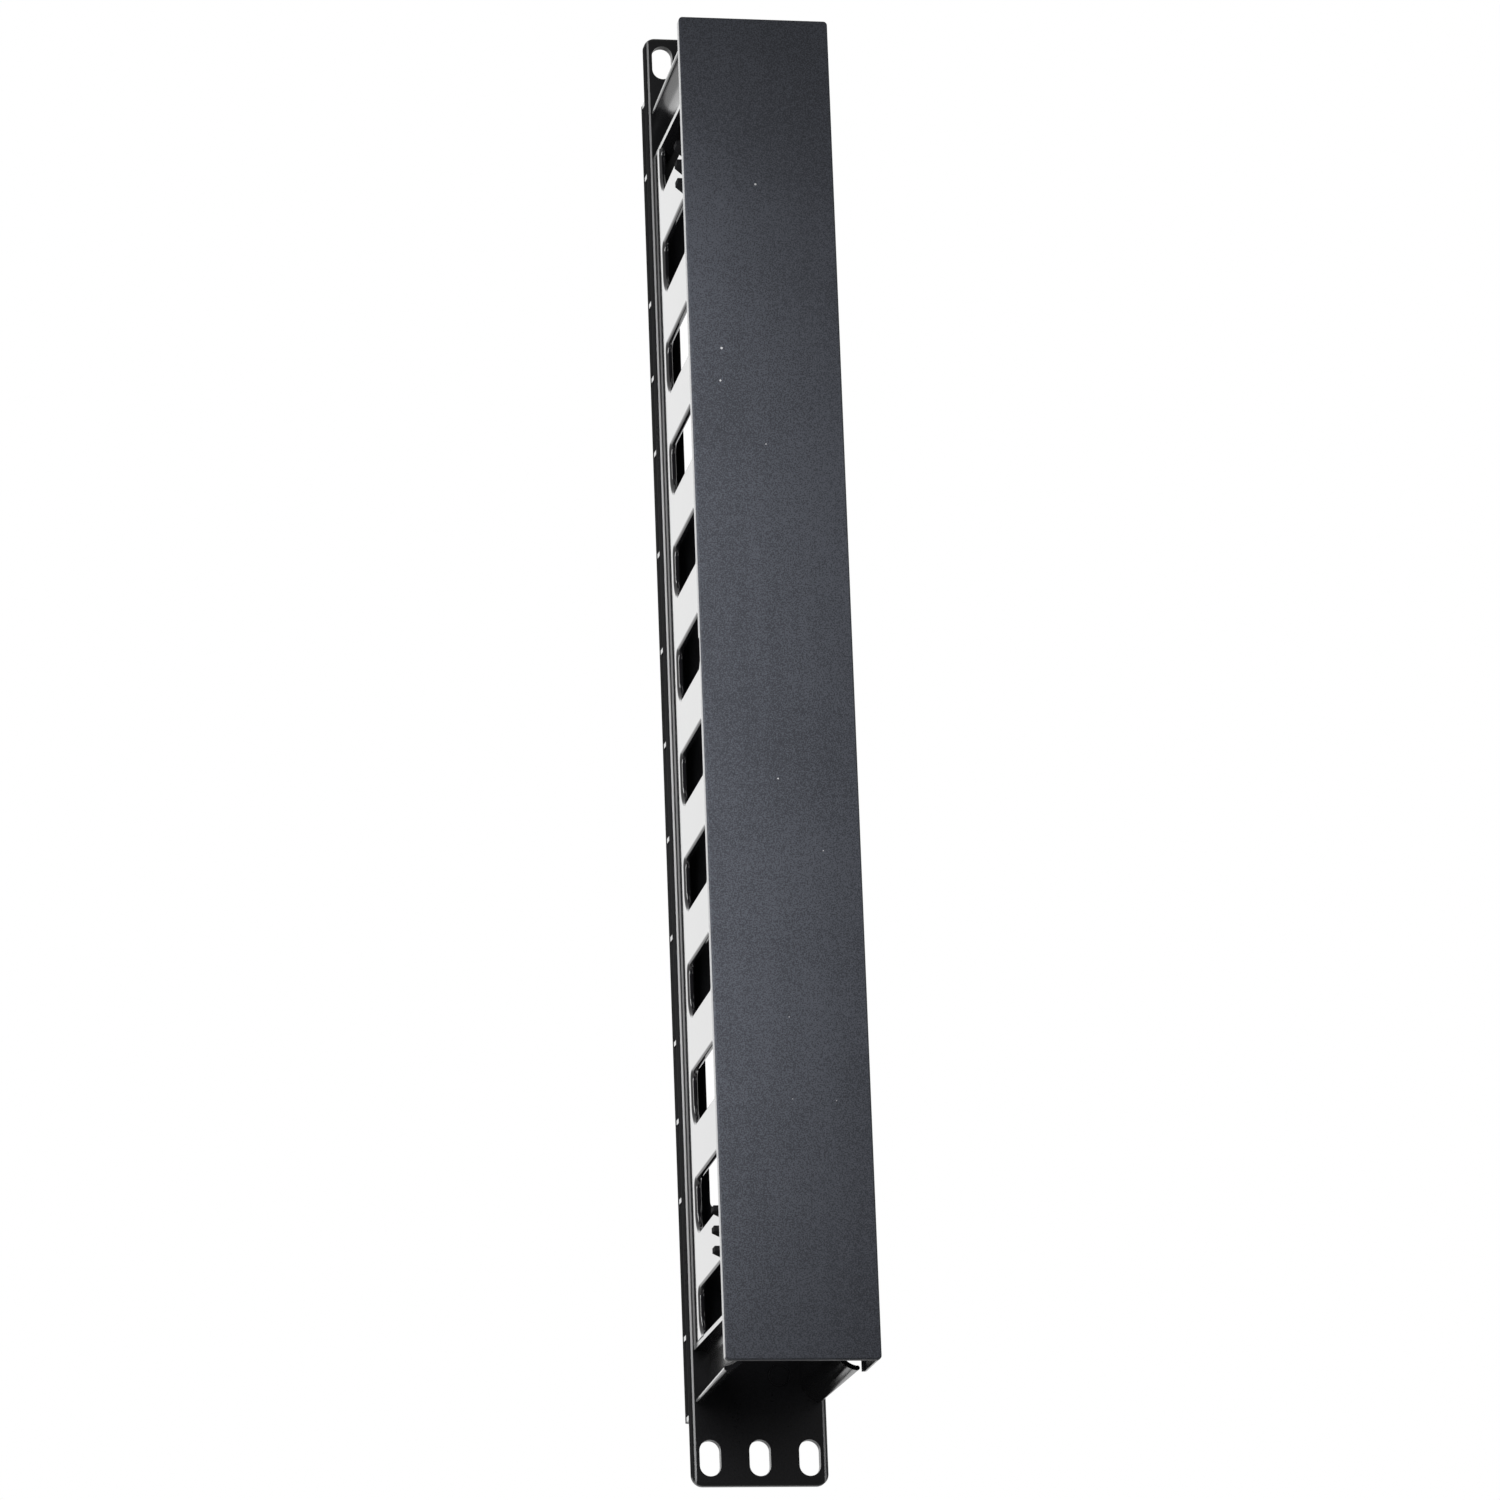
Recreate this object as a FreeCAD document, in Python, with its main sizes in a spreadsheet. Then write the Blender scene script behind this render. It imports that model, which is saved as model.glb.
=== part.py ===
import FreeCAD, Part
import os
import Sketcher

# Finger duct cable manager, standing on end.
# Frame: X across the duct, Z along it, Y from front to rear (the cover looks
# towards -Y). The origin is the centre of the rear mounting plane of the ears.

doc = FreeCAD.newDocument("CableManager")
sheet = doc.addObject("Spreadsheet::Sheet", "Sizes")
row = 0


def size(alias, value, note):
    """Put one driving dimension (millimetres or degrees) into the sheet."""
    global row
    row += 1
    sheet.set("A%d" % row, note)
    sheet.set("B%d" % row, str(value))
    sheet.setAlias("B%d" % row, alias)


# Mounting plate: the two ears and the floor of the duct in one flat plate.
plate_length = 482.6
size("plate_length", plate_length, "plate, overall along Z")
plate_width = 43.66
size("plate_width", plate_width, "plate, across X")
plate_thick = 3.0
size("plate_thick", plate_thick, "plate, front to rear")
plate_corner = 3.7
size("plate_corner", plate_corner, "plate corner radius")
plate_edge = 1.4
size("plate_edge", plate_edge, "rounding of the plate front edge")
slot_margin = 8.75
size("slot_margin", slot_margin, "plate end to the centre of the ear slots")
slot_spacing_cross = 15.875
size("slot_spacing_cross", slot_spacing_cross, "ear slots, centre to centre along X")
slot_wide = 6.8
size("slot_wide", slot_wide, "ear slot width")
slot_long = 11.5
size("slot_long", slot_long, "ear slot length, end to end")
window_half = 13.1
size("window_half", window_half, "floor window, half width")
window_long = 64.0
size("window_long", window_long, "floor window, length along Z")
window_margin = 88.3
size("window_margin", window_margin, "plate end to the floor window")
window_corner = 2.0
size("window_corner", window_corner, "floor window corner radius")
mark_x = 6.8
size("mark_x", mark_x, "round moulding mark, X")
mark_margin = 34.8
size("mark_margin", mark_margin, "round moulding mark, height above the plate's lower end")
mark_radius = 3.5
size("mark_radius", mark_radius, "round moulding mark, radius")
mark_line = 0.35
size("mark_line", mark_line, "round moulding mark, width of its groove")
mark_depth = 0.25
size("mark_depth", mark_depth, "round moulding mark, depth of its groove")

# Stiffening frame behind the plate.
ear_long = 21.3
size("ear_long", ear_long, "ear, length beyond the rear frame")
frame_deep = 7.0
size("frame_deep", frame_deep, "rear frame, depth behind the plate")
web_inner = 17.3
size("web_inner", web_inner, "rear frame web, inner face X")
web_thick = 1.7
size("web_thick", web_thick, "rear frame web, thickness")
rim_thick = 3.3
size("rim_thick", rim_thick, "rear frame rim, thickness front to rear")
rim_edge = 1.2
size("rim_edge", rim_edge, "rounding of the rim's two outer edges")
rib_thick = 1.5
size("rib_thick", rib_thick, "rib thickness along Z")
rib_one = 31.5
size("rib_one", rib_one, "first rib off centre")
rib_two = 64.0
size("rib_two", rib_two, "second rib off centre")
rib_three = 98.5
size("rib_three", rib_three, "third rib off centre")
rib_four = 124.0
size("rib_four", rib_four, "fourth rib off centre")
rib_five = 149.6
size("rib_five", rib_five, "fifth rib off centre")
rib_end = 26.3
size("rib_end", rib_end, "sixth rib to the end of the rear frame")

# Side walls with their fingers.
wall_out_base = 20.1
size("wall_out_base", wall_out_base, "wall outer face X at the floor")
wall_lean = 1.4
size("wall_lean", wall_lean, "how far the wall leans out up to the finger fronts")
wall_thick = 2.2
size("wall_thick", wall_thick, "wall thickness")
wall_foot = 0.3
size("wall_foot", wall_foot, "fillet between wall and floor")
sill_depth = 13.0
size("sill_depth", sill_depth, "floor to the rear edge of the openings")
sill_corner_up = 2.6
size("sill_corner_up", sill_corner_up, "openings, radius of the upper rear corner")
sill_corner_down = 7.4
size("sill_corner_down", sill_corner_down, "openings, radius of the lower rear corner")
opening_wide = 17.4
size("opening_wide", opening_wide, "opening between two fingers, along Z")
flare_start = 55.8
size("flare_start", flare_start, "floor to the start of the finger head")
flare_side = 4.0
size("flare_side", flare_side, "how far the head stands out on each side")
lip_round = 0.9
size("lip_round", lip_round, "rounding of the finger and sill edges")
seat_gap = 0.3
size("seat_gap", seat_gap, "finger fronts to the cover panel")

# End walls that turn inwards and flare out again as bend guides.
guide_margin = 42.7
size("guide_margin", guide_margin, "plate end to the outer face of the cross wall")
guide_thick = 1.5
size("guide_thick", guide_thick, "end guide wall thickness")
guide_throat = 15.0
size("guide_throat", guide_throat, "end guide throat, outer face X")
guide_bend = 4.0
size("guide_bend", guide_bend, "end guide inward bend, outer radius")
guide_run = 9.0
size("guide_run", guide_run, "end guide, cross wall to the start of the flare")
guide_flare = 6.4
size("guide_flare", guide_flare, "end guide flare radius, outer face")
guide_front = 57.0
size("guide_front", guide_front, "floor to the front end of the flare")

# Catch teeth.
tooth_first = 6.0
size("tooth_first", tooth_first, "finger centre to the tooth nearest the duct centre")
tooth_pitch = 6.3
size("tooth_pitch", tooth_pitch, "tooth pitch along Z")
tooth_wide = 1.6
size("tooth_wide", tooth_wide, "tooth width along Z")
tooth_proud = 0.4
size("tooth_proud", tooth_proud, "how far a tooth stands out past the cover's side")
tooth_front = 67.0
size("tooth_front", tooth_front, "floor to the tooth front face")
tooth_flat = 4.5
size("tooth_flat", tooth_flat, "length of the tooth side face")
tooth_rear = 57.0
size("tooth_rear", tooth_rear, "floor to the rear end of the tooth")

# Hinged cover.
cover_front = 76.64
size("cover_front", cover_front, "floor to the cover front face")
cover_play = 1.25
size("cover_play", cover_play, "play between the fingers and the cover's side skirts")
cover_margin_up = 22.5
size("cover_margin_up", cover_margin_up, "upper plate end to the cover's upper end")
cover_margin_down = 25.7
size("cover_margin_down", cover_margin_down, "lower plate end to the cover's lower end")
cover_thick = 2.3
size("cover_thick", cover_thick, "cover panel thickness")
cover_corner = 1.4
size("cover_corner", cover_corner, "cover corner radius")
cover_edge = 0.6
size("cover_edge", cover_edge, "rounding of the cover front edge")
skirt_thick = 1.4
size("skirt_thick", skirt_thick, "thickness of the cover side skirts")
latch_deep = 3.6
size("latch_deep", latch_deep, "latch skirt, overall depth")
notch_long = 20.0
size("notch_long", notch_long, "thumb notch length")
notch_centre = 3.0
size("notch_centre", notch_centre, "thumb notch centre, Z")
hinge_deep = 55.0
size("hinge_deep", hinge_deep, "floor to the rear face of the hinge bar")
bar_thick = 2.0
size("bar_thick", bar_thick, "hinge bar, front to rear")
bar_reach = 0.8
size("bar_reach", bar_reach, "hinge bar, how far it reaches past the skirt")
bar_round = 0.7
size("bar_round", bar_round, "hinge bar edge rounding")
tooth_gap = 0.4
size("tooth_gap", tooth_gap, "clearance beside a tooth in its slot")
slot_lead = 0.3
size("slot_lead", slot_lead, "clearance in front of a tooth in its slot")
slot_tail = 0.2
size("slot_tail", slot_tail, "how far the slot stops short of the tooth rear")
doc.recompute()

FINGERS = range(-5, 6)
OPENINGS = 12
HALF_ROOT = 0.5 ** 0.5
PAST = "1"  # how far a cutting outline runs past the piece


def S(expression):
    """Point the @words of an expression at the sheet."""
    return expression.replace("@", "Sizes.")


def number(expression):
    """Value of an expression over the sheet, as a plain float."""
    value = sheet.evalExpression(S(expression))
    return float(getattr(value, "Value", value))


# Derived places, written as expressions over the sheet.
FLOOR = "@plate_thick"
SILL = "(@plate_thick + @sill_depth)"
FOOT = "(@plate_thick + @sill_depth + @sill_corner_down)"
FLARE = "(@plate_thick + @flare_start)"
PANEL_REAR = "(@plate_thick + @cover_front - @cover_thick)"
FINGER_FRONT = "(@plate_thick + @cover_front - @cover_thick - @seat_gap)"
PLATE_END = "(@plate_length / 2)"
SLOT_ROW = "(%s - @slot_margin)" % PLATE_END
WINDOW_FAR = "(%s - @window_margin)" % PLATE_END
WINDOW_NEAR = "(%s - @window_long)" % WINDOW_FAR
MARK_SPOT = "(@mark_margin - %s)" % PLATE_END
FRAME_END = "(%s - @ear_long)" % PLATE_END
GUIDE_FAR = "(%s - @guide_margin)" % PLATE_END
GUIDE_RUN = "(%s + @guide_run)" % GUIDE_FAR
COVER_TOP = "(%s - @cover_margin_up)" % PLATE_END
COVER_FOOT = "(@cover_margin_down - %s)" % PLATE_END
PITCH = "((2 * %s + @opening_wide) / %d)" % (GUIDE_FAR, OPENINGS)
STEM = "((%s - @opening_wide) / 2)" % PITCH
TOOTH_NEAR = "(%d * %s - @tooth_first)" % (FINGERS[-1], PITCH)
LEAN = "(@wall_lean / (@cover_front - @cover_thick - @seat_gap))"
WALL_END = "(%s - @guide_thick)" % GUIDE_FAR
HINGE_BACK = "(@plate_thick + @hinge_deep)"
CORNER = "min(@cover_corner, 0.9 * @skirt_thick)"
BAR_ROUND = "min(@bar_round, 0.9 * @bar_reach)"
RIM_REACH = "(@plate_width / 2 - @web_inner - @web_thick)"
RIM_ROUND = "min(@rim_edge, 0.9 * %s)" % RIM_REACH


def wall_x(depth):
    """Outer face of a side wall, X, at a depth in front of the rear plane."""
    return "(@wall_out_base + %s * (%s - @plate_thick))" % (LEAN, depth)


COVER_SIDE = "(%s + @cover_play + @skirt_thick)" % wall_x(FINGER_FRONT)
TOOTH_TIP = "(%s + @tooth_proud)" % COVER_SIDE


def new_body(name):
    body = doc.addObject("PartDesign::Body", name)
    body.Label = name
    return body


def new_sketch(body, name, role, offset="0"):
    """Sketch on one of the body's own origin planes, moved along its normal."""
    sketch = body.newObject("Sketcher::SketchObject", body.Name + "_" + name)
    for feature in body.Origin.OriginFeatures:
        if feature.Role == role:
            sketch.AttachmentSupport = [(feature, "")]
    sketch.MapMode = "FlatFace"
    sketch.setExpression("AttachmentOffset.Base.z", S(offset))
    return sketch


def pin(sketch, geometry, point, across, up):
    """Hold one point of a sketch at two expressions."""
    for kind, expression in (("DistanceX", across), ("DistanceY", up)):
        if expression is None:
            continue
        value = number(expression)
        index = sketch.addConstraint(
            Sketcher.Constraint(kind, -1, 1, geometry, point, value))
        sketch.setExpression("Constraints[%d]" % index, S(expression))


def outline(sketch, points):
    """Closed outline. A point is (across, up) or, with an arc from it to the
    next point, (across, up, centre across, centre up, turn) with turn 1 for
    an arc that runs anticlockwise and -1 for one that runs clockwise."""
    count = len(points)
    spots = [FreeCAD.Vector(number(p[0]), number(p[1]), 0) for p in points]
    starts = []
    first = sketch.GeometryCount
    for i in range(count):
        here = spots[i]
        there = spots[(i + 1) % count]
        if len(points[i]) == 2:
            sketch.addGeometry(Part.LineSegment(here, there), False)
            starts.append((first + i, 1, 2))
            continue
        centre = FreeCAD.Vector(number(points[i][2]), number(points[i][3]), 0)
        turn = points[i][4]
        axis = FreeCAD.Vector(0, 0, 1)
        circle = Part.Circle(centre, axis, (here - centre).Length)
        a = circle.parameter(here)
        b = circle.parameter(there)
        if turn > 0:
            sketch.addGeometry(Part.ArcOfCircle(circle, a, b), False)
            starts.append((first + i, 1, 2))
        else:
            sketch.addGeometry(Part.ArcOfCircle(circle, b, a), False)
            starts.append((first + i, 2, 1))
    for i in range(count):
        g, begin, end = starts[i]
        h, next_begin, next_end = starts[(i + 1) % count]
        sketch.addConstraint(
            Sketcher.Constraint("Coincident", g, end, h, next_begin))
        pin(sketch, g, begin, points[i][0], points[i][1])
        if len(points[i]) > 2:
            flat = abs(spots[(i + 1) % count].y - spots[i].y)
            long = abs(spots[(i + 1) % count].x - spots[i].x)
            if flat > long:
                pin(sketch, g, 3, points[i][2], None)
            else:
                pin(sketch, g, 3, None, points[i][3])


def neg(expression):
    return "-(%s)" % expression


def rectangle(left, right, low, high):
    return [(left, low), (right, low), (right, high), (left, high)]


def rounded(left, right, low, high, radius):
    """Rectangle with four rounded corners."""
    inner_left = "(%s + %s)" % (left, radius)
    inner_right = "(%s - %s)" % (right, radius)
    inner_low = "(%s + %s)" % (low, radius)
    inner_high = "(%s - %s)" % (high, radius)
    return [
        (inner_left, low),
        (inner_right, low, inner_right, inner_low, 1),
        (right, inner_low),
        (right, inner_high, inner_right, inner_high, 1),
        (inner_right, high),
        (inner_left, high, inner_left, inner_high, 1),
        (left, inner_high),
        (left, inner_low, inner_left, inner_low, 1),
    ]


def pad(body, sketch, length, middle=False):
    feature = body.newObject("PartDesign::Pad", sketch.Name + "_pad")
    feature.Profile = sketch
    feature.setExpression("Length", S(length))
    feature.Midplane = middle
    return feature


def pocket(body, sketch):
    """Cut the sketch through everything, both ways, and check it cuts."""
    doc.recompute()
    before = body.Shape.Volume
    feature = body.newObject("PartDesign::Pocket", sketch.Name + "_pocket")
    feature.Profile = sketch
    feature.Type = "ThroughAll"
    feature.Midplane = True
    doc.recompute()
    if not body.Shape.Volume < before:
        raise RuntimeError(feature.Name + " cuts nothing")
    return feature


def groove_pocket(body, sketch, depth):
    """Cut the sketch from its plane back into the piece, and check it cuts."""
    doc.recompute()
    before = body.Shape.Volume
    feature = body.newObject("PartDesign::Pocket", sketch.Name + "_pocket")
    feature.Profile = sketch
    feature.setExpression("Length", S(depth))
    doc.recompute()
    if not body.Shape.Volume < before:
        feature.Reversed = True
        doc.recompute()
    if not body.Shape.Volume < before:
        raise RuntimeError(feature.Name + " cuts nothing")
    return feature


def round_edges(body, name, radius, test):
    """Fillet the edges of the body's tip for which test(edge) is true."""
    doc.recompute()
    base = body.Tip
    shape = base.Shape
    names = []
    for index, edge in enumerate(shape.Edges):
        if test(edge):
            names.append("Edge%d" % (index + 1))
    if not names:
        raise RuntimeError("no edges to round on " + body.Name)
    feature = body.newObject("PartDesign::Fillet", body.Name + "_" + name)
    feature.Base = (base, names)
    feature.setExpression("Radius", S(radius))
    return feature


def at(edge, axis, value):
    """True if the whole edge lies in the plane axis = value."""
    box = edge.BoundBox
    low = getattr(box, axis + "Min")
    high = getattr(box, axis + "Max")
    return abs(low - value) < 0.001 and abs(high - value) < 0.001


def copy_body(name, master):
    """A second piece of the same shape, which follows every change of it."""
    body = new_body(name)
    copy = doc.addObject("PartDesign::FeatureBase", name + "_copy")
    body.Group = [copy]
    copy.BaseFeature = master
    body.Tip = copy
    return body


def place(body, along="0", turned=False):
    """Set a body along Z, and for the right-hand side turn it about Y."""
    if turned:
        spin = FreeCAD.Rotation(FreeCAD.Vector(0, 1, 0), 180)
        body.Placement = FreeCAD.Placement(FreeCAD.Vector(), spin)
    body.setExpression("Placement.Base.z", S(along))


def make_plate():
    body = new_body("mounting_plate")
    half_x = "(@plate_width / 2)"
    sketch = new_sketch(body, "outline", "XZ_Plane")
    outline(sketch, rounded(neg(half_x), half_x, neg(PLATE_END), PLATE_END,
                            "@plate_corner"))
    pad(body, sketch, FLOOR)
    front = -number(FLOOR)
    round_edges(body, "rim", "@plate_edge", lambda e: at(e, "Y", front))
    sketch = new_sketch(body, "windows", "XZ_Plane")
    for low, high in ((WINDOW_NEAR, WINDOW_FAR),
                      (neg(WINDOW_FAR), neg(WINDOW_NEAR))):
        outline(sketch, rounded(neg("@window_half"), "@window_half",
                                low, high, "@window_corner"))
    pocket(body, sketch)
    sketch = new_sketch(body, "slots", "XZ_Plane")
    half_wide = "@slot_wide / 2"
    reach = "(@slot_long - @slot_wide) / 2"
    for end in ("1", "-1"):
        for column in ("-1", "0", "1"):
            x = "(%s * @slot_spacing_cross)" % column
            z = "(%s * %s)" % (end, SLOT_ROW)
            left = "(%s - %s)" % (x, half_wide)
            right = "(%s + %s)" % (x, half_wide)
            low = "(%s - %s)" % (z, reach)
            high = "(%s + %s)" % (z, reach)
            outline(sketch, [(left, low, x, low, 1), (right, low),
                             (right, high, x, high, 1), (left, high)])
    pocket(body, sketch)
    sketch = new_sketch(body, "mark", "XZ_Plane", FLOOR)
    for radius in ("@mark_radius", "(@mark_radius - @mark_line)"):
        spot = FreeCAD.Vector(number("@mark_x"), number(MARK_SPOT), 0)
        ring = Part.Circle(spot, FreeCAD.Vector(0, 0, 1), number(radius))
        index = sketch.addGeometry(ring, False)
        pin(sketch, index, 3, "@mark_x", MARK_SPOT)
        held = sketch.addConstraint(
            Sketcher.Constraint("Radius", index, number(radius)))
        sketch.setExpression("Constraints[%d]" % held, S(radius))
    groove_pocket(body, sketch, "@mark_depth")
    return body


def make_rail(name, turned):
    """Edge rail behind the plate: a web with a rim flush with the plate."""
    body = new_body(name)
    web = neg("@web_inner")
    out = neg("(@web_inner + @web_thick)")
    edge = neg("(@plate_width / 2)")
    rim = "(@frame_deep - @rim_thick)"
    sketch = new_sketch(body, "section", "XY_Plane")
    outline(sketch, [(web, "0"), (web, "@frame_deep"),
                     (edge, "@frame_deep"), (edge, rim), (out, rim),
                     (out, "0")])
    pad(body, sketch, "2 * %s" % FRAME_END, True)
    side = -number("@plate_width / 2")
    round_edges(body, "rim", RIM_ROUND, lambda e: at(e, "X", side)
                and e.BoundBox.YLength < e.BoundBox.ZLength)
    place(body, "0", turned)
    return body


RIB_PLACES = ["0"]
for word in ("one", "two", "three", "four", "five"):
    RIB_PLACES += ["@rib_" + word, neg("@rib_" + word)]
SIXTH_RIB = "(%s - @rib_end)" % FRAME_END
END_RIB = "(%s - @rib_thick / 2)" % FRAME_END
RIB_PLACES += [SIXTH_RIB, neg(SIXTH_RIB), END_RIB, neg(END_RIB)]
CROSS_PLACES = ["0", "@rib_one", neg("@rib_one"), "@rib_two", neg("@rib_two"),
                SIXTH_RIB, neg(SIXTH_RIB), END_RIB, neg(END_RIB)]


def make_ribs(name, left, right, deep, places):
    """A set of like ribs behind the plate, one solid each."""
    boxes = []
    for index, spot in enumerate(places):
        box = doc.addObject("Part::Box", "%s_%d" % (name, index + 1))
        box.setExpression("Length", S("%s - %s" % (right, left)))
        box.setExpression("Width", S(deep))
        box.setExpression("Height", S("@rib_thick"))
        box.setExpression("Placement.Base.x", S(left))
        box.setExpression("Placement.Base.z", S(spot + " - @rib_thick / 2"))
        boxes.append(box)
    group = doc.addObject("Part::Compound", name)
    group.Label = name
    group.Links = boxes
    return group


def opening_outline(low, high):
    """Rear end of one opening between two fingers, with its two corners."""
    over = "(%s + %s)" % (FOOT, PAST)
    down = "(%s + @sill_corner_down)" % SILL
    up = "(%s + @sill_corner_up)" % SILL
    low_in = "(%s + @sill_corner_down)" % low
    high_in = "(%s - @sill_corner_up)" % high
    return [
        (neg(over), low),
        (neg(down), low, neg(down), low_in, 1),
        (neg(SILL), low_in),
        (neg(SILL), high_in, neg(up), high_in, 1),
        (neg(up), high),
        (neg(over), high)]


def make_sill(name):
    """Lower band of a side wall, with the rounded rear end of each opening."""
    body = new_body(name)
    inner = neg("(%s - @wall_thick)" % wall_x(FLOOR))
    top_in = neg("(%s - @wall_thick)" % wall_x(FOOT))
    top_out = neg(wall_x(FOOT))
    foot_end = "(%s + @wall_foot)" % FLOOR
    foot_out = neg("(%s + @wall_foot)" % wall_x(foot_end))
    sketch = new_sketch(body, "section", "XY_Plane")
    outline(sketch, [
        (foot_out, neg(FLOOR), foot_out, neg(foot_end), -1),
        (neg(wall_x(foot_end)), neg(foot_end)), (top_out, neg(FOOT)),
        (top_in, neg(FOOT)), (inner, neg(FLOOR))])
    pad(body, sketch, "2 * %s" % WALL_END, True)
    sketch = new_sketch(body, "opening", "YZ_Plane")
    steps = OPENINGS - 3
    centre = "(-%s * %s)" % (steps / 2, PITCH)
    outline(sketch, opening_outline("(%s - @opening_wide / 2)" % centre,
                                    "(%s + @opening_wide / 2)" % centre))
    cut = pocket(body, sketch)
    pattern = body.newObject("PartDesign::LinearPattern", name + "_openings")
    pattern.Originals = [cut]
    pattern.Direction = (sketch, ["V_Axis"])
    pattern.setExpression("Length", S("%d * %s" % (steps, PITCH)))
    pattern.Occurrences = steps + 1
    body.Tip = pattern
    sketch = new_sketch(body, "end_openings", "YZ_Plane")
    last = "(%d * %s + %s)" % (FINGERS[-1], PITCH, STEM)
    outline(sketch, opening_outline(last, WALL_END))
    outline(sketch, opening_outline(neg(WALL_END), neg(last)))
    pocket(body, sketch)
    top = -number(FOOT)
    bottom = -number(foot_end)
    far = number(WALL_END)

    def sill_edge(edge):
        box = edge.BoundBox
        if at(edge, "Y", top) or box.YMax > bottom - 1:
            return False
        if at(edge, "Z", far) or at(edge, "Z", -far):
            return False
        return box.XLength < 0.5 * box.DiagonalLength
    round_edges(body, "lip", "@lip_round", sill_edge)
    return body


def mirror_copy(name, master):
    """The same piece on the other side of the duct, as a mirror image."""
    copy = doc.addObject("Part::Mirroring", name)
    copy.Label = name
    copy.Source = master
    copy.Normal = FreeCAD.Vector(1, 0, 0)
    return copy


def make_finger(name):
    """One finger: a stem that widens into a head just behind the cover."""
    body = new_body(name)
    head = "(%s + @flare_side)" % STEM
    shoulder = "(%s + @flare_side)" % FLARE
    sketch = new_sketch(body, "profile", "YZ_Plane",
                        neg("(%s + %s)" % (wall_x(FINGER_FRONT), PAST)))
    outline(sketch, [
        (neg(FOOT), neg(STEM)), (neg(FOOT), STEM), (neg(FLARE), STEM),
        (neg(shoulder), head), (neg(FINGER_FRONT), head),
        (neg(FINGER_FRONT), neg(head)), (neg(shoulder), neg(head)),
        (neg(FLARE), neg(STEM))])
    pad(body, sketch, "@wall_lean + @wall_thick + 2 * %s" % PAST)
    past_foot = "(%s - %s)" % (FOOT, PAST)
    past_front = "(%s + %s)" % (FINGER_FRONT, PAST)
    sketch = new_sketch(body, "faces", "XY_Plane")
    far = neg("(%s + 2 * %s)" % (wall_x(FINGER_FRONT), PAST))
    outline(sketch, [
        (far, neg(past_foot)), (far, neg(past_front)),
        (neg(wall_x(past_front)), neg(past_front)),
        (neg(wall_x(past_foot)), neg(past_foot))])
    near = neg("(%s - @wall_thick - 2 * %s)" % (wall_x(FLOOR), PAST))
    outline(sketch, [
        (near, neg(past_foot)),
        (neg("(%s - @wall_thick)" % wall_x(past_foot)), neg(past_foot)),
        (neg("(%s - @wall_thick)" % wall_x(past_front)), neg(past_front)),
        (near, neg(past_front))])
    pocket(body, sketch)
    foot = -number(FOOT)

    def rim_edge(edge):
        box = edge.BoundBox
        if at(edge, "Y", foot):
            return False
        return box.XLength < 0.5 * box.DiagonalLength
    round_edges(body, "lip", "@lip_round", rim_edge)
    return body


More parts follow.
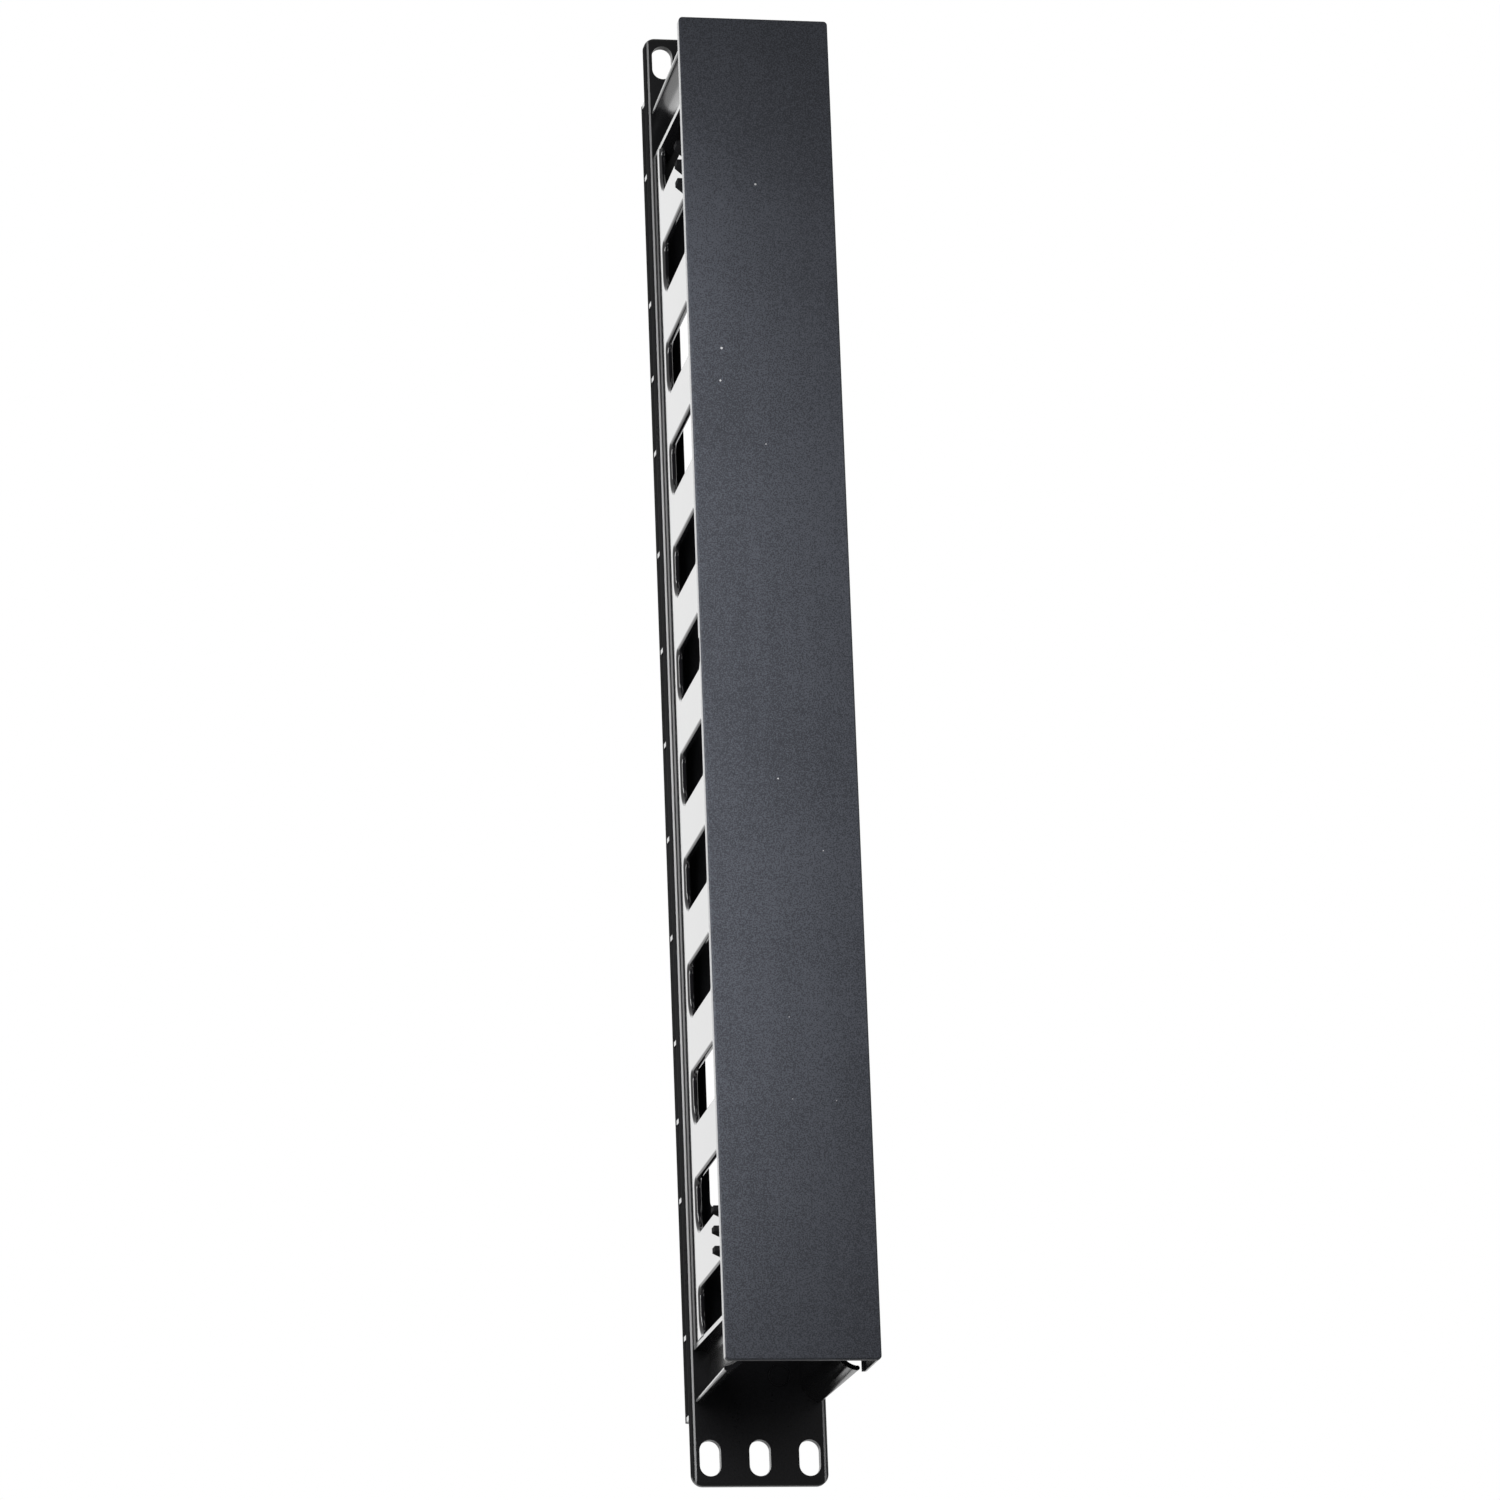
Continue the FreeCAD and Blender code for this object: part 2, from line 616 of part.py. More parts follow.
def make_guide(name, side, end):
    """End wall: across the duct, in to the throat and out again in a flare.
    side is -1 on the left and 1 on the right, end is 1 at the top."""
    half = number("@guide_thick") / 2
    floor = number(FLOOR)
    deep = number(FINGER_FRONT) - floor
    flare_deep = number("@guide_front")
    wall_z = number(GUIDE_FAR) - half
    throat = number("@guide_throat") - half
    bend = number("@guide_bend") - half
    run = number(GUIDE_RUN)
    flare = number("@guide_flare") + half
    edge_x = number(wall_x(FLOOR))

    def spot(x, z):
        return FreeCAD.Vector(side * x, end * z, 0)
    inner_bend = throat + bend
    bend_in = spot(inner_bend, wall_z)
    bend_mid = spot(inner_bend - bend * HALF_ROOT,
                    wall_z + bend * (1 - HALF_ROOT))
    bend_out = spot(throat, wall_z + bend)
    run_end = spot(throat, run)
    flare_mid = spot(throat + flare * (1 - HALF_ROOT), run + flare * HALF_ROOT)
    flare_end = spot(throat + flare, run + flare)
    path = Part.Wire([
        Part.LineSegment(spot(edge_x, wall_z), bend_in).toShape(),
        Part.Arc(bend_in, bend_mid, bend_out).toShape(),
        Part.LineSegment(bend_out, run_end).toShape(),
        Part.Arc(run_end, flare_mid, flare_end).toShape(),
    ])
    inward = path.makeOffset2D(half, 0, True, True)
    outward = path.makeOffset2D(-half, 0, True, True)
    flat = inward.fuse(outward).removeSplitter()
    solid = flat.extrude(FreeCAD.Vector(0, 0, deep))
    # the flare ends in a full round that leans out with the side wall
    over = number(PAST)
    lean = number(LEAN)

    def rim_x(depth):
        return edge_x - half + lean * depth
    beyond = throat + 2 * flare
    middle = rim_x(flare_deep / 2)
    rim_z = run + (flare ** 2 - (throat + flare - middle) ** 2) ** 0.5
    rear = spot(rim_x(-over), run)
    front = spot(rim_x(deep + over), run)
    rear.z = -over
    front.z = deep + over
    far_front = spot(beyond, run)
    far_rear = spot(beyond, run)
    far_front.z = deep + over
    far_rear.z = -over
    outside = Part.Face(Part.makePolygon(
        [rear, front, far_front, far_rear, rear]))
    solid = solid.cut(outside.extrude(spot(0, 2 * flare)))
    axis_rear = spot(rim_x(-over), rim_z)
    axis_front = spot(rim_x(flare_deep + over), rim_z)
    axis_rear.z = -over
    axis_front.z = flare_deep + over
    axis = axis_front - axis_rear
    rim = Part.makeCylinder(half, axis.Length, axis_rear, axis)
    low = run if end > 0 else -run - 2 * flare
    slab = Part.makeBox(2 * beyond, 2 * flare, deep)
    slab.translate(FreeCAD.Vector(-beyond, low, flare_deep))
    below = Part.makeBox(2 * beyond, 2 * flare, deep)
    below.translate(FreeCAD.Vector(-beyond, low, -deep))
    solid = solid.fuse(rim).cut(slab).cut(below).removeSplitter()
    feature = doc.addObject("Part::Feature", name)
    feature.Label = name
    feature.Shape = solid.Solids[0]
    upright = FreeCAD.Rotation(FreeCAD.Vector(1, 0, 0), 90)
    feature.Placement = FreeCAD.Placement(
        FreeCAD.Vector(0, -floor, 0), upright)
    return feature


def make_teeth(name, side, end):
    """Three catch teeth on the outer face of one finger."""
    teeth = []
    front = "(@plate_thick + @tooth_front)"
    rear = "(@plate_thick + @tooth_rear)"
    flat = "(%s - @tooth_flat)" % front
    for index in range(3):
        body = doc.addObject("PartDesign::Body", "%s_%d" % (name, index + 1))
        sketch = new_sketch(body, "section", "XY_Plane")
        outline(sketch, [
            (neg(wall_x(front)), neg(front)), (neg(wall_x(rear)), neg(rear)),
            (neg(TOOTH_TIP), neg(flat)), (neg(TOOTH_TIP), neg(front))])
        pad(body, sketch, "@tooth_wide", True)
        spot = "(%s * (%s + %d * @tooth_pitch))" % (end, TOOTH_NEAR, index)
        place(body, spot, side > 0)
        teeth.append(body)
    group = doc.addObject("Part::Compound", name)
    group.Label = name
    group.Links = teeth
    return group


def make_cover_panel():
    body = new_body("cover_panel")
    sketch = new_sketch(body, "outline", "XZ_Plane", PANEL_REAR)
    outline(sketch, rounded(neg(COVER_SIDE), COVER_SIDE, COVER_FOOT,
                            COVER_TOP, CORNER))
    pad(body, sketch, "@cover_thick")
    front = -number("@plate_thick + @cover_front")
    round_edges(body, "rim", "@cover_edge", lambda e: at(e, "Y", front))
    return body


def make_latch_skirt():
    """Short left skirt with its thumb notch."""
    body = new_body("cover_latch_skirt")
    rear = "(@plate_thick + @cover_front - @latch_deep)"
    inner = "(%s - @skirt_thick)" % COVER_SIDE
    sketch = new_sketch(body, "outline", "XZ_Plane", rear)
    straight = "(%s - %s)" % (COVER_SIDE, CORNER)
    low = "(%s + %s)" % (COVER_FOOT, CORNER)
    high = "(%s - %s)" % (COVER_TOP, CORNER)
    outline(sketch, [
        (neg(COVER_SIDE), high), (neg(COVER_SIDE), low, neg(straight), low, 1),
        (neg(straight), COVER_FOOT), (neg(inner), COVER_FOOT),
        (neg(inner), COVER_TOP),
        (neg(straight), COVER_TOP, neg(straight), high, 1)])
    pad(body, sketch, "%s - %s" % (PANEL_REAR, rear))
    sketch = new_sketch(body, "notch", "YZ_Plane")
    start = "(@notch_centre - @notch_long / 2)"
    stop = "(@notch_centre + @notch_long / 2)"
    past = "(%s - %s)" % (rear, PAST)
    outline(sketch, [(neg(PANEL_REAR), start), (neg(past), start),
                     (neg(past), stop), (neg(PANEL_REAR), stop)])
    pocket(body, sketch)
    return body


def make_hinge_skirt():
    """Deep right skirt with the slots for the teeth and the hinge bar."""
    body = new_body("cover_hinge_skirt")
    inner = "(%s - @skirt_thick)" % COVER_SIDE
    reach = "(%s - @bar_reach)" % inner
    bar = "(%s + @bar_thick)" % HINGE_BACK
    sketch = new_sketch(body, "section", "XY_Plane", COVER_FOOT)
    outline(sketch, [
        (inner, neg(PANEL_REAR)), (COVER_SIDE, neg(PANEL_REAR)),
        (COVER_SIDE, neg(HINGE_BACK)), (reach, neg(HINGE_BACK)),
        (reach, neg(bar)), (inner, neg(bar))])
    pad(body, sketch, "%s - %s" % (COVER_TOP, COVER_FOOT))
    sketch = new_sketch(body, "corners", "XZ_Plane")
    straight = "(%s - %s)" % (COVER_SIDE, CORNER)
    outside = "(%s + %s)" % (COVER_SIDE, PAST)
    bend = "(%s - %s)" % (COVER_TOP, CORNER)
    past = "(%s + %s)" % (COVER_TOP, PAST)
    outline(sketch, [
        (COVER_SIDE, bend, straight, bend, 1), (straight, COVER_TOP),
        (straight, past), (outside, past), (outside, bend)])
    bend = "(%s + %s)" % (COVER_FOOT, CORNER)
    past = "(%s - %s)" % (COVER_FOOT, PAST)
    outline(sketch, [
        (straight, COVER_FOOT, straight, bend, 1),
        (COVER_SIDE, bend), (outside, bend), (outside, past),
        (straight, past)])
    pocket(body, sketch)
    back = -number(HINGE_BACK)
    side = number(COVER_SIDE)
    inside = number(reach)
    turned_edge = -number(bar)
    long = number(COVER_TOP)

    def bar_edge(edge):
        if edge.BoundBox.ZLength < long:
            return False
        if at(edge, "Y", back):
            return at(edge, "X", side) or at(edge, "X", inside)
        return at(edge, "X", inside) and at(edge, "Y", turned_edge)
    round_edges(body, "bar", BAR_ROUND, bar_edge)
    sketch = new_sketch(body, "slots", "YZ_Plane")
    near = "(@plate_thick + @tooth_rear + @slot_tail)"
    far = "(@plate_thick + @tooth_front + @slot_lead)"
    half = "(@tooth_wide / 2 + @tooth_gap)"
    for end in ("1", "-1"):
        for index in range(3):
            spot = "(%s * (%s + %d * @tooth_pitch))" % (end, TOOTH_NEAR, index)
            outline(sketch, rectangle(neg(far), neg(near),
                                      "(%s - %s)" % (spot, half),
                                      "(%s + %s)" % (spot, half)))
    pocket(body, sketch)
    return body


pieces = [make_plate()]
pieces.append(make_rail("rear_rail_left", False))
pieces.append(make_rail("rear_rail_right", True))
edge_in = "(@web_inner + @web_thick)"
edge_out = "(@plate_width / 2)"
between = "(@frame_deep - @rim_thick)"
pieces.append(make_ribs("edge_ribs_left", neg(edge_out), neg(edge_in),
                        between, RIB_PLACES))
pieces.append(make_ribs("edge_ribs_right", edge_in, edge_out,
                        between, RIB_PLACES))
pieces.append(make_ribs("cross_ribs", neg("@web_inner"), "@web_inner",
                        "@frame_deep", CROSS_PLACES))
left_sill = make_sill("side_sill_left")
right_sill = mirror_copy("side_sill_right", left_sill)
pieces += [left_sill, right_sill]
middle_finger = make_finger("finger_left_06")
for place_index, step in enumerate(reversed(FINGERS)):
    height = "(%d * %s)" % (step, PITCH)
    for side_word in ("left", "right"):
        finger_name = "finger_%s_%02d" % (side_word, place_index + 1)
        if finger_name == middle_finger.Label:
            pieces.append(middle_finger)
            continue
        finger = copy_body(finger_name, middle_finger)
        place(finger, height, side_word == "right")
        pieces.append(finger)
for side_word, side_sign in (("left", -1), ("right", 1)):
    for end_word, end_sign in (("top", 1), ("bottom", -1)):
        tail = side_word + "_" + end_word
        pieces.append(make_guide("end_guide_" + tail, side_sign, end_sign))
        pieces.append(make_teeth("catch_teeth_" + tail, side_sign, end_sign))
pieces.append(make_cover_panel())
pieces.append(make_latch_skirt())
pieces.append(make_hinge_skirt())

doc.recompute()
for item in doc.Objects:
    if "Invalid" in item.State or "Error" in item.State:
        raise RuntimeError("failed: " + item.Name + " " + str(item.State))
for piece in pieces:
    if piece.Shape.isNull() or not piece.Shape.isValid():
        raise RuntimeError("bad shape: " + piece.Label)

os.makedirs("parts", exist_ok=True)
for piece in pieces:
    piece.Shape.exportStep("parts/%s.step" % piece.Label)
    print(piece.Label, len(piece.Shape.Solids), round(piece.Shape.Volume, 2))
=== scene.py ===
import math

import bpy
from mathutils import Matrix, Vector

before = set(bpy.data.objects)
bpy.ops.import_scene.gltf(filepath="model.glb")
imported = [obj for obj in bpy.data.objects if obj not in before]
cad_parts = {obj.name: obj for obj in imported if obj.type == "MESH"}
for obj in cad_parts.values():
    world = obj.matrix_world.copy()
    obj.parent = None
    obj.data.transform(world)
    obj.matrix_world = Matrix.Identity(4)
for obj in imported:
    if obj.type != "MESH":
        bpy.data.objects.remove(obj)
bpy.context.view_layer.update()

bl_info = {
    "name": "Finger Duct Cable Manager",
    "version": (1, 0, 0),
    "blender": (4, 5, 0),
    "location": "View3D > Sidebar > Cable Manager",
    "description": "Moulded black plastic finish for a finger duct with a hinged cover",
    "category": "Object",
}


def nodes_named(start):
    return [name for name in sorted(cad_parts) if name.startswith(start)]


# The CAD nodes that share a finish.
PANEL = ["cover_panel"]
SKIRTS = ["cover_latch_skirt", "cover_hinge_skirt"]
PLATE = ["mounting_plate", "rear_rail_left", "rear_rail_right", "cross_ribs"]
TEETH = nodes_named("catch_teeth_")
EDGE_RIBS = ["edge_ribs_left", "edge_ribs_right"]
SILLS = ["side_sill_left", "side_sill_right"]
FINGERS = nodes_named("finger_")
GUIDES = nodes_named("end_guide_")

# Side faces: how far off the middle plane they begin, in metres, and what is
# added to the roughness there.
PLATE_SIDE = (0.02172, 0.7)
PANEL_SIDE = (0.0241, -0.38)
# Painted highlight: the plate's long edges get a pale line between these distances off the
# middle plane, standing in for the light on their rounded front edges.
PAINTED_HIGHLIGHT_BAND = (0.02035, 0.02095)
PAINTED_HIGHLIGHT_COLOUR = (0.38, 0.38, 0.385, 1.0)

# The plastic's noises, on Object coordinates, which are metres: scale, detail and
# roughness of each. Grit and fine are the mould's grain, cloud is handling, and
# flow is the streaks along the duct, stretched by its own mapping.
GRIT = (2300.0, 2.0, 0.6)
FINE = (1000.0, 1.0, 0.5)
CLOUD = (14.0, 4.0, 0.6)
FLOW = (3.0, 3.0, 0.6)
FLOW_STRETCH = (60.0, 60.0, 3.0)
NOISE_MIDDLE = 0.5

# How much each noise gives to the colour, the gloss and the relief.
SHADE_SHARES = {"grit": 3.4, "fine": 0.7, "cloud": 0.9, "flow": 0.25}
GLOSS_SHARES = {"cloud": 0.16, "flow": 0.08, "fine": 0.10}
RELIEF_GRIT = 0.6
RELIEF_FINE = 0.4
DARKEST = 0.66
PALEST = 1.34
GRAIN_HEIGHT = 0.00012

# Dust specks on the cover: cells per metre, the share of cells without one, and
# the least size and the spread of sizes as parts of a cell.
DUST_CELLS = 75.0
DUST_FREE = 0.87
DUST_LEAST = 0.008
DUST_SPREAD = 0.022
DUST_COLOUR = (0.42, 0.42, 0.43, 1.0)

# Each finish: roughness past that of its group, index of refraction, strength of
# the relief and of the mottling, and what is particular to it.
FINISHES = {
    "cover_grain": {"duller": 0.0, "ior": 1.2, "bump": 0.5, "mottle": 1.6,
                    "dusty": True, "side": PANEL_SIDE},
    "skirt_grain": {"duller": -0.32, "ior": 1.5, "bump": 0.15, "mottle": 0.8},
    # The plate's finish also lays the painted highlight band along its long edges.
    "plate_grain": {"duller": 0.25, "ior": 1.2, "bump": 0.3, "mottle": 0.8,
                    "side": PLATE_SIDE, "painted_highlight_band": PAINTED_HIGHLIGHT_BAND},
    "wall_polish": {"duller": 0.0, "ior": 1.5, "bump": 0.04, "mottle": 0.15},
    "guide_polish": {"duller": 0.12, "ior": 1.75, "bump": 0.05, "mottle": 0.15},
}

# The stage. The camera and reflections see the floor and the air as white.
WHITE = (1.0, 1.0, 1.0, 1.0)
WHITE_STRENGTH = 1.0
FLOOR_COLOUR = (0.8, 0.8, 0.8, 1.0)
FLOOR_SIZE = 14.0
AIR_STRENGTH = 0.2
MIDDLE = (0.0, -0.05, 0.0)
# Name, place, aim, width, height and power of each lamp, in metres and watts.
LAMPS = (
    ("rear_wash", (-0.30, 2.1, 0.58), MIDDLE, 1.6, 1.5, 6.5),
    ("front_strip", (-0.085, -0.165, -0.02), (0.0, -0.08, -0.02), 0.04, 0.38, 0.58),
    ("side_fill", (1.9, -0.9, 0.6), MIDDLE, 1.2, 1.6, 3.0),
)
# The camera's place and its three directions, as fitted to the photograph.
VIEW_PLACE = (-0.409284, -2.141562, -0.598798)
VIEW_RIGHT = Vector((0.982929, -0.180499, -0.035654))
VIEW_DOWN = Vector((0.013892, 0.266038, -0.963863))
VIEW_AHEAD = Vector((0.183461, 0.946913, 0.264004))
SENSOR_WIDTH = 36.0
VIEW_REACH = 60.0


class Finish:
    """Node tree of one material or of the air: nodes from add(), maths from Channels."""

    def __init__(self, owner, output):
        owner.use_nodes = True
        self.owner = owner
        self.tree = owner.node_tree
        self.tree.nodes.clear()
        self.output = self.add(output)

    def add(self, kind, settings=None, **sockets):
        node = self.tree.nodes.new(kind)
        for key, value in (settings or {}).items():
            setattr(node, key, value)
        for key, value in sockets.items():
            self.feed(node.inputs[key.replace("_", " ")], value)
        return node

    def feed(self, socket, value):
        if isinstance(value, Channel):
            value = value.socket
        if isinstance(value, bpy.types.NodeSocket):
            self.tree.links.new(value, socket)
        else:
            socket.default_value = value

    def channel(self, socket):
        return Channel(self, socket)

    def noise(self, place, scale, detail, roughness):
        node = self.add("ShaderNodeTexNoise", {"noise_dimensions": "3D"}, Vector=place,
                        Scale=scale, Detail=detail, Roughness=roughness)
        return self.channel(node.outputs["Fac"])

    def paint(self, under, over, where):
        """The colour over, laid on the colour under as far as the mask says."""
        mix = self.add("ShaderNodeMix", {"data_type": "RGBA"}, Factor=where, A=under, B=over)
        return mix.outputs["Result"]

    def choose(self, first, second, where):
        """The first shader where the mask is nought, and the second where it is one."""
        mix = self.add("ShaderNodeMixShader", Fac=where)
        self.feed(mix.inputs[1], first)
        self.feed(mix.inputs[2], second)
        return mix.outputs["Shader"]

    def surface(self, shader):
        self.feed(self.output.inputs["Surface"], shader)
        return self.owner


class Channel:
    """A number that varies over the surface; Python operators add Math nodes."""

    def __init__(self, finish, socket):
        self.finish = finish
        self.socket = socket

    def _maths(self, operation, first, second=None, clamp=False):
        node = self.finish.add("ShaderNodeMath", {"operation": operation, "use_clamp": clamp})
        self.finish.feed(node.inputs[0], first)
        if second is not None:
            self.finish.feed(node.inputs[1], second)
        return Channel(self.finish, node.outputs[0])

    def __add__(self, other):
        return self._maths("ADD", self, other)

    __radd__ = __add__

    def __sub__(self, other):
        return self._maths("SUBTRACT", self, other)

    def __rsub__(self, other):
        return self._maths("SUBTRACT", other, self)

    def __mul__(self, other):
        return self._maths("MULTIPLY", self, other)

    __rmul__ = __mul__

    def __gt__(self, other):
        return self._maths("GREATER_THAN", self, other)

    def size(self):
        return self._maths("ABSOLUTE", self)

    def clamped(self):
        return self._maths("ADD", self, 0.0, clamp=True)


def new_material(name):
    return Finish(bpy.data.materials.new(name), "ShaderNodeOutputMaterial")


def mingled(noises, shares):
    """The noises about their middle, each by its share, added up."""
    total = None
    for name, share in shares.items():
        part = (noises[name] - NOISE_MIDDLE) * share
        total = part if total is None else total + part
    return total


def dust_specks(f, place):
    """Mask of the dust on the cover's face, laid out across X and Z."""
    front = f.add("ShaderNodeMapping", {"vector_type": "POINT"}, Vector=place,
                  Rotation=(math.pi / 2, 0.0, 0.0))
    dust = f.add("ShaderNodeTexVoronoi",
                 {"voronoi_dimensions": "2D", "feature": "F1", "distance": "EUCLIDEAN"},
                 Vector=front.outputs["Vector"], Scale=DUST_CELLS, Randomness=1.0)
    pick = f.add("ShaderNodeSeparateColor", Color=dust.outputs["Color"])
    reach = f.channel(pick.outputs["Green"]) * DUST_SPREAD + DUST_LEAST
    near = reach > f.channel(dust.outputs["Distance"])
    return near * (f.channel(pick.outputs["Red"]) > DUST_FREE)


def moulded_plastic(name, base, rough, duller, ior, bump, mottle,
                    dusty=False, side=None, painted_highlight_band=None):
    """Black moulded plastic: fine spark-eroded grain, faint flow streaks, soft
    patches from handling, and where they are asked for a few pale dust specks,
    side faces of another gloss and a painted highlight, a pale band along the long edges."""
    f = new_material(name)
    place = f.add("ShaderNodeTexCoord").outputs["Object"]
    along = f.add("ShaderNodeMapping", {"vector_type": "POINT"}, Vector=place,
                  Scale=FLOW_STRETCH)
    noises = {
        "grit": f.noise(place, *GRIT),
        "fine": f.noise(place, *FINE),
        "cloud": f.noise(place, *CLOUD),
        "flow": f.noise(along.outputs["Vector"], *FLOW),
    }
    off_middle = f.channel(f.add("ShaderNodeSeparateXYZ", Vector=place).outputs["X"]).size()

    shade = mingled(noises, SHADE_SHARES) * mottle + NOISE_MIDDLE
    colour = f.paint([part * DARKEST for part in base] + [1.0],
                     [part * PALEST for part in base] + [1.0], shade.clamped())
    if dusty:
        colour = f.paint(colour, DUST_COLOUR, dust_specks(f, place))
    # Painted highlight: a pale band on the long edges stands in for the light that their
    # rounding catches.
    if painted_highlight_band:
        painted_highlight_mask = (off_middle > painted_highlight_band[0]) * (1.0 - (off_middle > painted_highlight_band[1]))
        colour = f.paint(colour, PAINTED_HIGHLIGHT_COLOUR, painted_highlight_mask)

    gloss = mingled(noises, GLOSS_SHARES) * mottle + (rough + duller)
    if side:
        gloss = gloss + (off_middle > side[0]) * side[1]

    relief = f.add("ShaderNodeBump", Strength=bump, Distance=GRAIN_HEIGHT,
                   Height=noises["grit"] * RELIEF_GRIT + noises["fine"] * RELIEF_FINE)
    shader = f.add("ShaderNodeBsdfPrincipled", Base_Color=colour, Roughness=gloss.clamped(),
                   IOR=ior, Normal=relief.outputs["Normal"])
    return f.surface(shader.outputs["BSDF"])


def finish_nodes(names, finish, base, rough):
    """Give the named CAD nodes one of the finishes, in the colour of their group."""
    material = moulded_plastic(finish, base, rough, **FINISHES[finish])
    for name in names:
        for material_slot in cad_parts[name].material_slots:
            material_slot.material = material


def seen_directly(f):
    """One for what the camera and reflections see, and nought for other light."""
    ray = f.add("ShaderNodeLightPath")
    camera = f.channel(ray.outputs["Is Camera Ray"])
    glossy = f.channel(ray.outputs["Is Glossy Ray"])
    through = f.channel(ray.outputs["Is Transmission Ray"])
    return (camera + glossy + through).clamped()


def stage_surface(name, colour):
    """Plain matt surface that the camera and reflections see as white."""
    f = new_material(name)
    matt = f.add("ShaderNodeBsdfDiffuse", Color=colour)
    glow = f.add("ShaderNodeEmission", Color=WHITE, Strength=WHITE_STRENGTH)
    return f.surface(f.choose(matt.outputs["BSDF"], glow.outputs["Emission"],
                              seen_directly(f)))


def studio_air(name):
    """Weak even light from all round that the camera and reflections see as white."""
    f = Finish(bpy.data.worlds.new(name), "ShaderNodeOutputWorld")
    light = f.add("ShaderNodeBackground", Color=WHITE, Strength=AIR_STRENGTH)
    backdrop = f.add("ShaderNodeBackground", Color=WHITE, Strength=WHITE_STRENGTH)
    return f.surface(f.choose(light.outputs["Background"], backdrop.outputs["Background"],
                              seen_directly(f)))


def soft_lamp(name, place, aim, wide, tall, watts):
    data = bpy.data.lights.new(name, "AREA")
    data.shape = "RECTANGLE"
    data.size = wide
    data.size_y = tall
    data.energy = watts
    lamp = bpy.data.objects.new(name, data)
    bpy.context.scene.collection.objects.link(lamp)
    lamp.location = place
    turn = (Vector(aim) - Vector(place)).to_track_quat("-Z", "Y")
    lamp.rotation_euler = turn.to_euler()
    lamp.visible_camera = False


def photo_camera(name, focal_length):
    data = bpy.data.cameras.new(name)
    data.lens = focal_length
    data.sensor_width = SENSOR_WIDTH
    data.clip_end = VIEW_REACH
    camera = bpy.data.objects.new(name, data)
    bpy.context.scene.collection.objects.link(camera)
    turn = Matrix((VIEW_RIGHT, -VIEW_DOWN, -VIEW_AHEAD)).transposed()
    camera.matrix_world = Matrix.Translation(VIEW_PLACE) @ turn.to_4x4()
    return camera


class DuctSettings(bpy.types.PropertyGroup):
    """Colours and finish of the moulded parts."""

    cover_colour: bpy.props.FloatVectorProperty(
        name="Cover colour", description="Colour of the cover's plastic",
        subtype="COLOR", size=3, min=0.0, max=1.0, default=(0.043, 0.046, 0.055))
    base_colour: bpy.props.FloatVectorProperty(
        name="Base colour", description="Colour of the duct's plastic",
        subtype="COLOR", size=3, min=0.0, max=1.0, default=(0.008, 0.008, 0.009))
    cover_roughness: bpy.props.FloatProperty(
        name="Cover roughness", description="How dull the cover's grain is",
        subtype="FACTOR", min=0.0, max=1.0, default=0.5)
    base_roughness: bpy.props.FloatProperty(
        name="Base roughness", description="How dull the duct's plastic is",
        subtype="FACTOR", min=0.0, max=1.0, default=0.05)


class StageSettings(bpy.types.PropertyGroup):
    """Floor and camera."""

    floor_drop: bpy.props.FloatProperty(
        name="Floor drop", description="How far the floor lies below the middle of the part",
        unit="LENGTH", min=0.3, max=3.0, default=0.95)
    focal_length: bpy.props.FloatProperty(
        name="Focal length", description="Lens of the camera, in millimetres",
        unit="CAMERA", min=10.0, max=400.0, default=168.4)


class OBJECT_OT_build_stage(bpy.types.Operator):
    """Add the pale floor, the white air, the lamps and the camera"""

    bl_idname = "object.duct_build_stage"
    bl_label = "Build Stage"

    def execute(self, context):
        chosen = context.scene.duct_settings_stage
        bpy.ops.object.select_all(action="DESELECT")
        bpy.ops.mesh.primitive_plane_add(size=FLOOR_SIZE,
                                         location=(0.0, 0.0, -chosen.floor_drop))
        floor = context.object
        floor.name = "studio_floor"
        floor.data.materials.append(stage_surface("pale_floor", FLOOR_COLOUR))
        context.scene.world = studio_air("studio_air")
        for lamp in LAMPS:
            soft_lamp(*lamp)
        context.scene.camera = photo_camera("photo_view", chosen.focal_length)
        context.scene.view_settings.view_transform = "Standard"
        return {"FINISHED"}


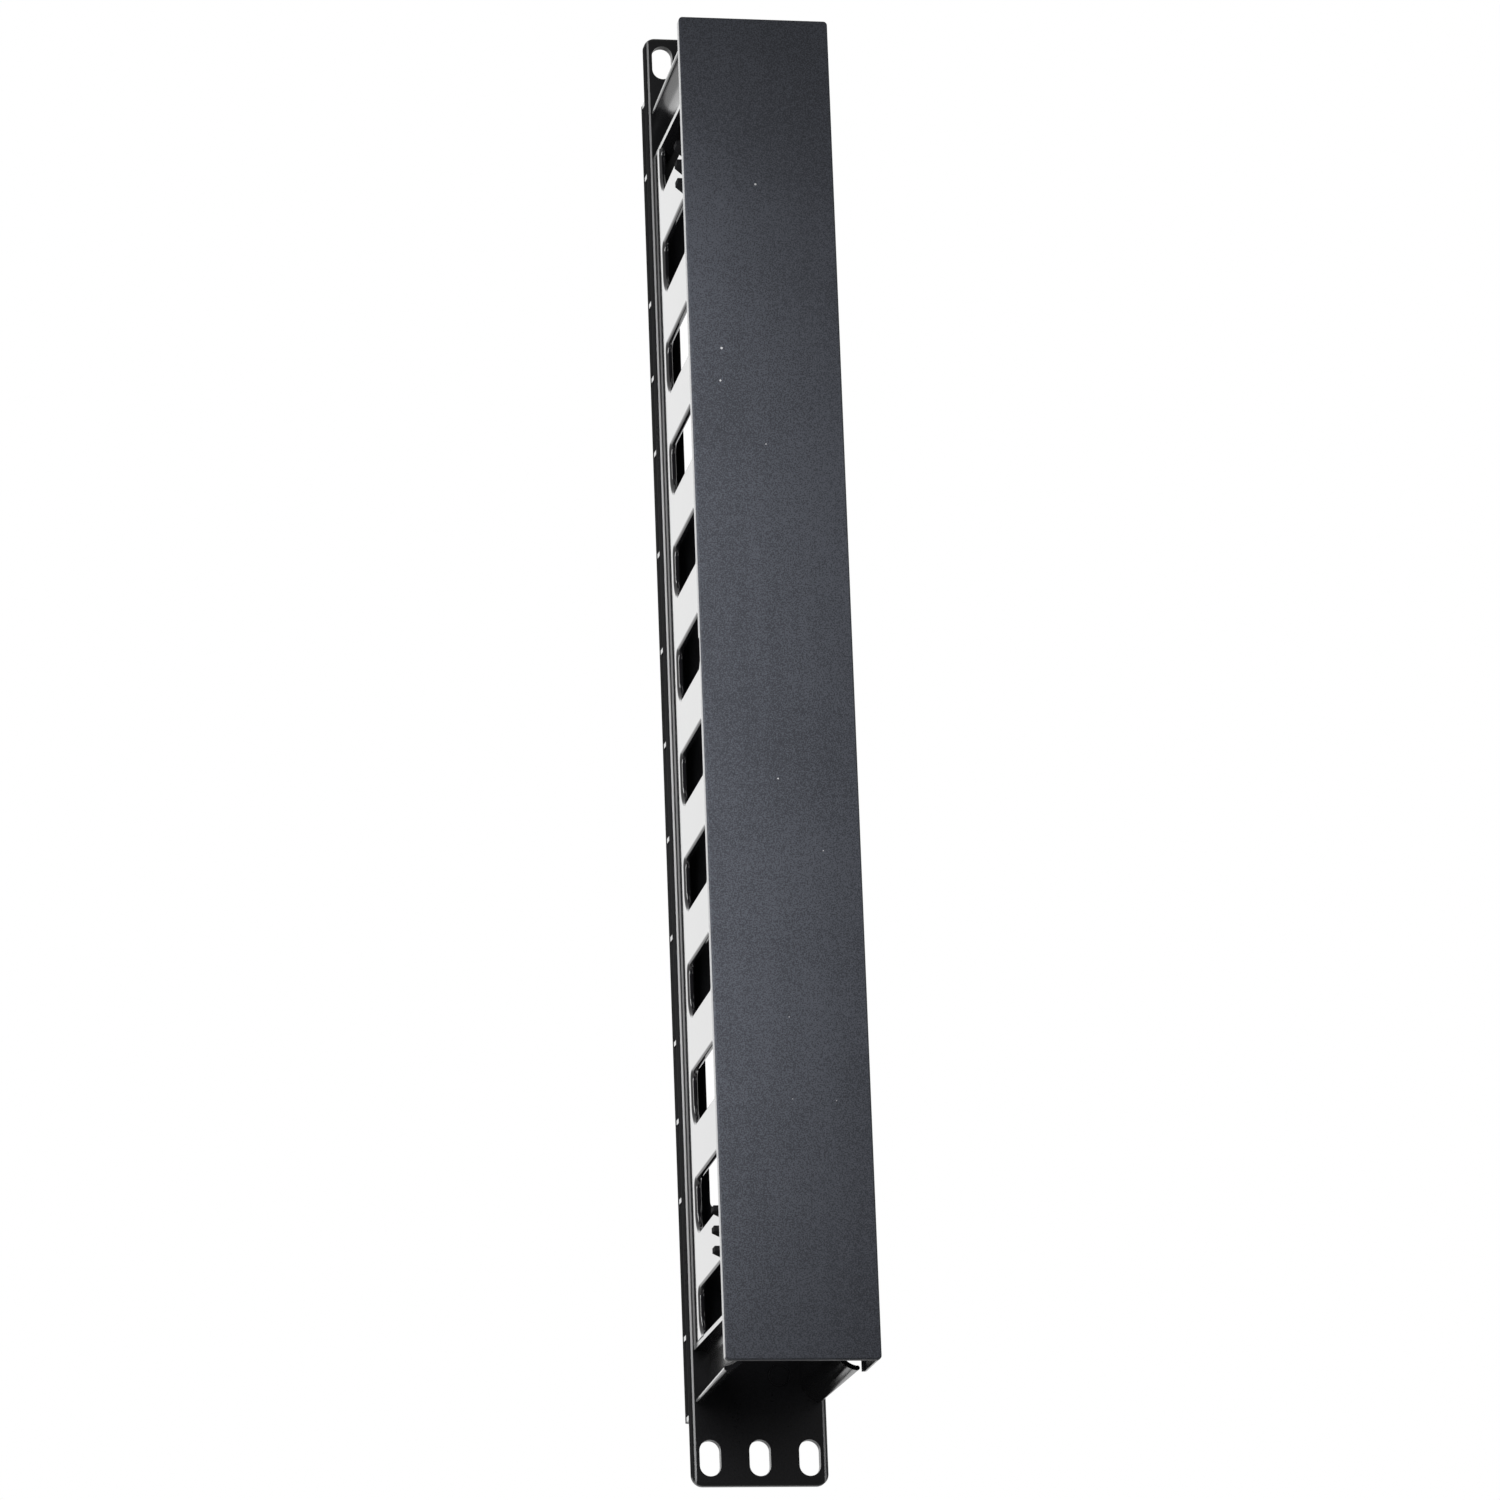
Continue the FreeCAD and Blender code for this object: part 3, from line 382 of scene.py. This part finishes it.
class OBJECT_OT_finish_cover(bpy.types.Operator):
    """Give the cover its grained plastic"""

    bl_idname = "object.duct_finish_cover"
    bl_label = "Finish Cover"

    def execute(self, context):
        chosen = context.scene.duct_settings
        plastic = (chosen.cover_colour, chosen.cover_roughness)
        finish_nodes(PANEL, "cover_grain", *plastic)
        finish_nodes(SKIRTS, "skirt_grain", *plastic)
        return {"FINISHED"}


class OBJECT_OT_finish_base(bpy.types.Operator):
    """Give the duct, its fingers and the plate their smooth plastic"""

    bl_idname = "object.duct_finish_base"
    bl_label = "Finish Base"

    def execute(self, context):
        chosen = context.scene.duct_settings
        plastic = (chosen.base_colour, chosen.base_roughness)
        finish_nodes(PLATE + TEETH, "plate_grain", *plastic)
        finish_nodes(EDGE_RIBS + SILLS + FINGERS, "wall_polish", *plastic)
        finish_nodes(GUIDES, "guide_polish", *plastic)
        return {"FINISHED"}


STEPS = (OBJECT_OT_build_stage, OBJECT_OT_finish_cover, OBJECT_OT_finish_base)


class VIEW3D_PT_cable_manager(bpy.types.Panel):
    """Lists the steps that finish the cable manager"""

    bl_idname = "VIEW3D_PT_cable_manager"
    bl_label = "Cable Manager"
    bl_space_type = "VIEW_3D"
    bl_region_type = "UI"
    bl_category = "Cable Manager"

    def draw(self, context):
        layout = self.layout
        for operator in STEPS:
            layout.operator(operator.bl_idname)
        for name in ("cover_colour", "base_colour", "cover_roughness", "base_roughness"):
            layout.prop(context.scene.duct_settings, name)
        for name in ("floor_drop", "focal_length"):
            layout.prop(context.scene.duct_settings_stage, name)


CLASSES = (DuctSettings, StageSettings) + STEPS + (VIEW3D_PT_cable_manager,)


def register():
    for item in CLASSES:
        bpy.utils.register_class(item)
    bpy.types.Scene.duct_settings = bpy.props.PointerProperty(type=DuctSettings)
    bpy.types.Scene.duct_settings_stage = bpy.props.PointerProperty(type=StageSettings)


def unregister():
    del bpy.types.Scene.duct_settings_stage
    del bpy.types.Scene.duct_settings
    for item in reversed(CLASSES):
        bpy.utils.unregister_class(item)


def main():
    register()
    bpy.ops.object.duct_build_stage()
    bpy.ops.object.duct_finish_cover()
    bpy.ops.object.duct_finish_base()


if __name__ == "__main__":
    main()
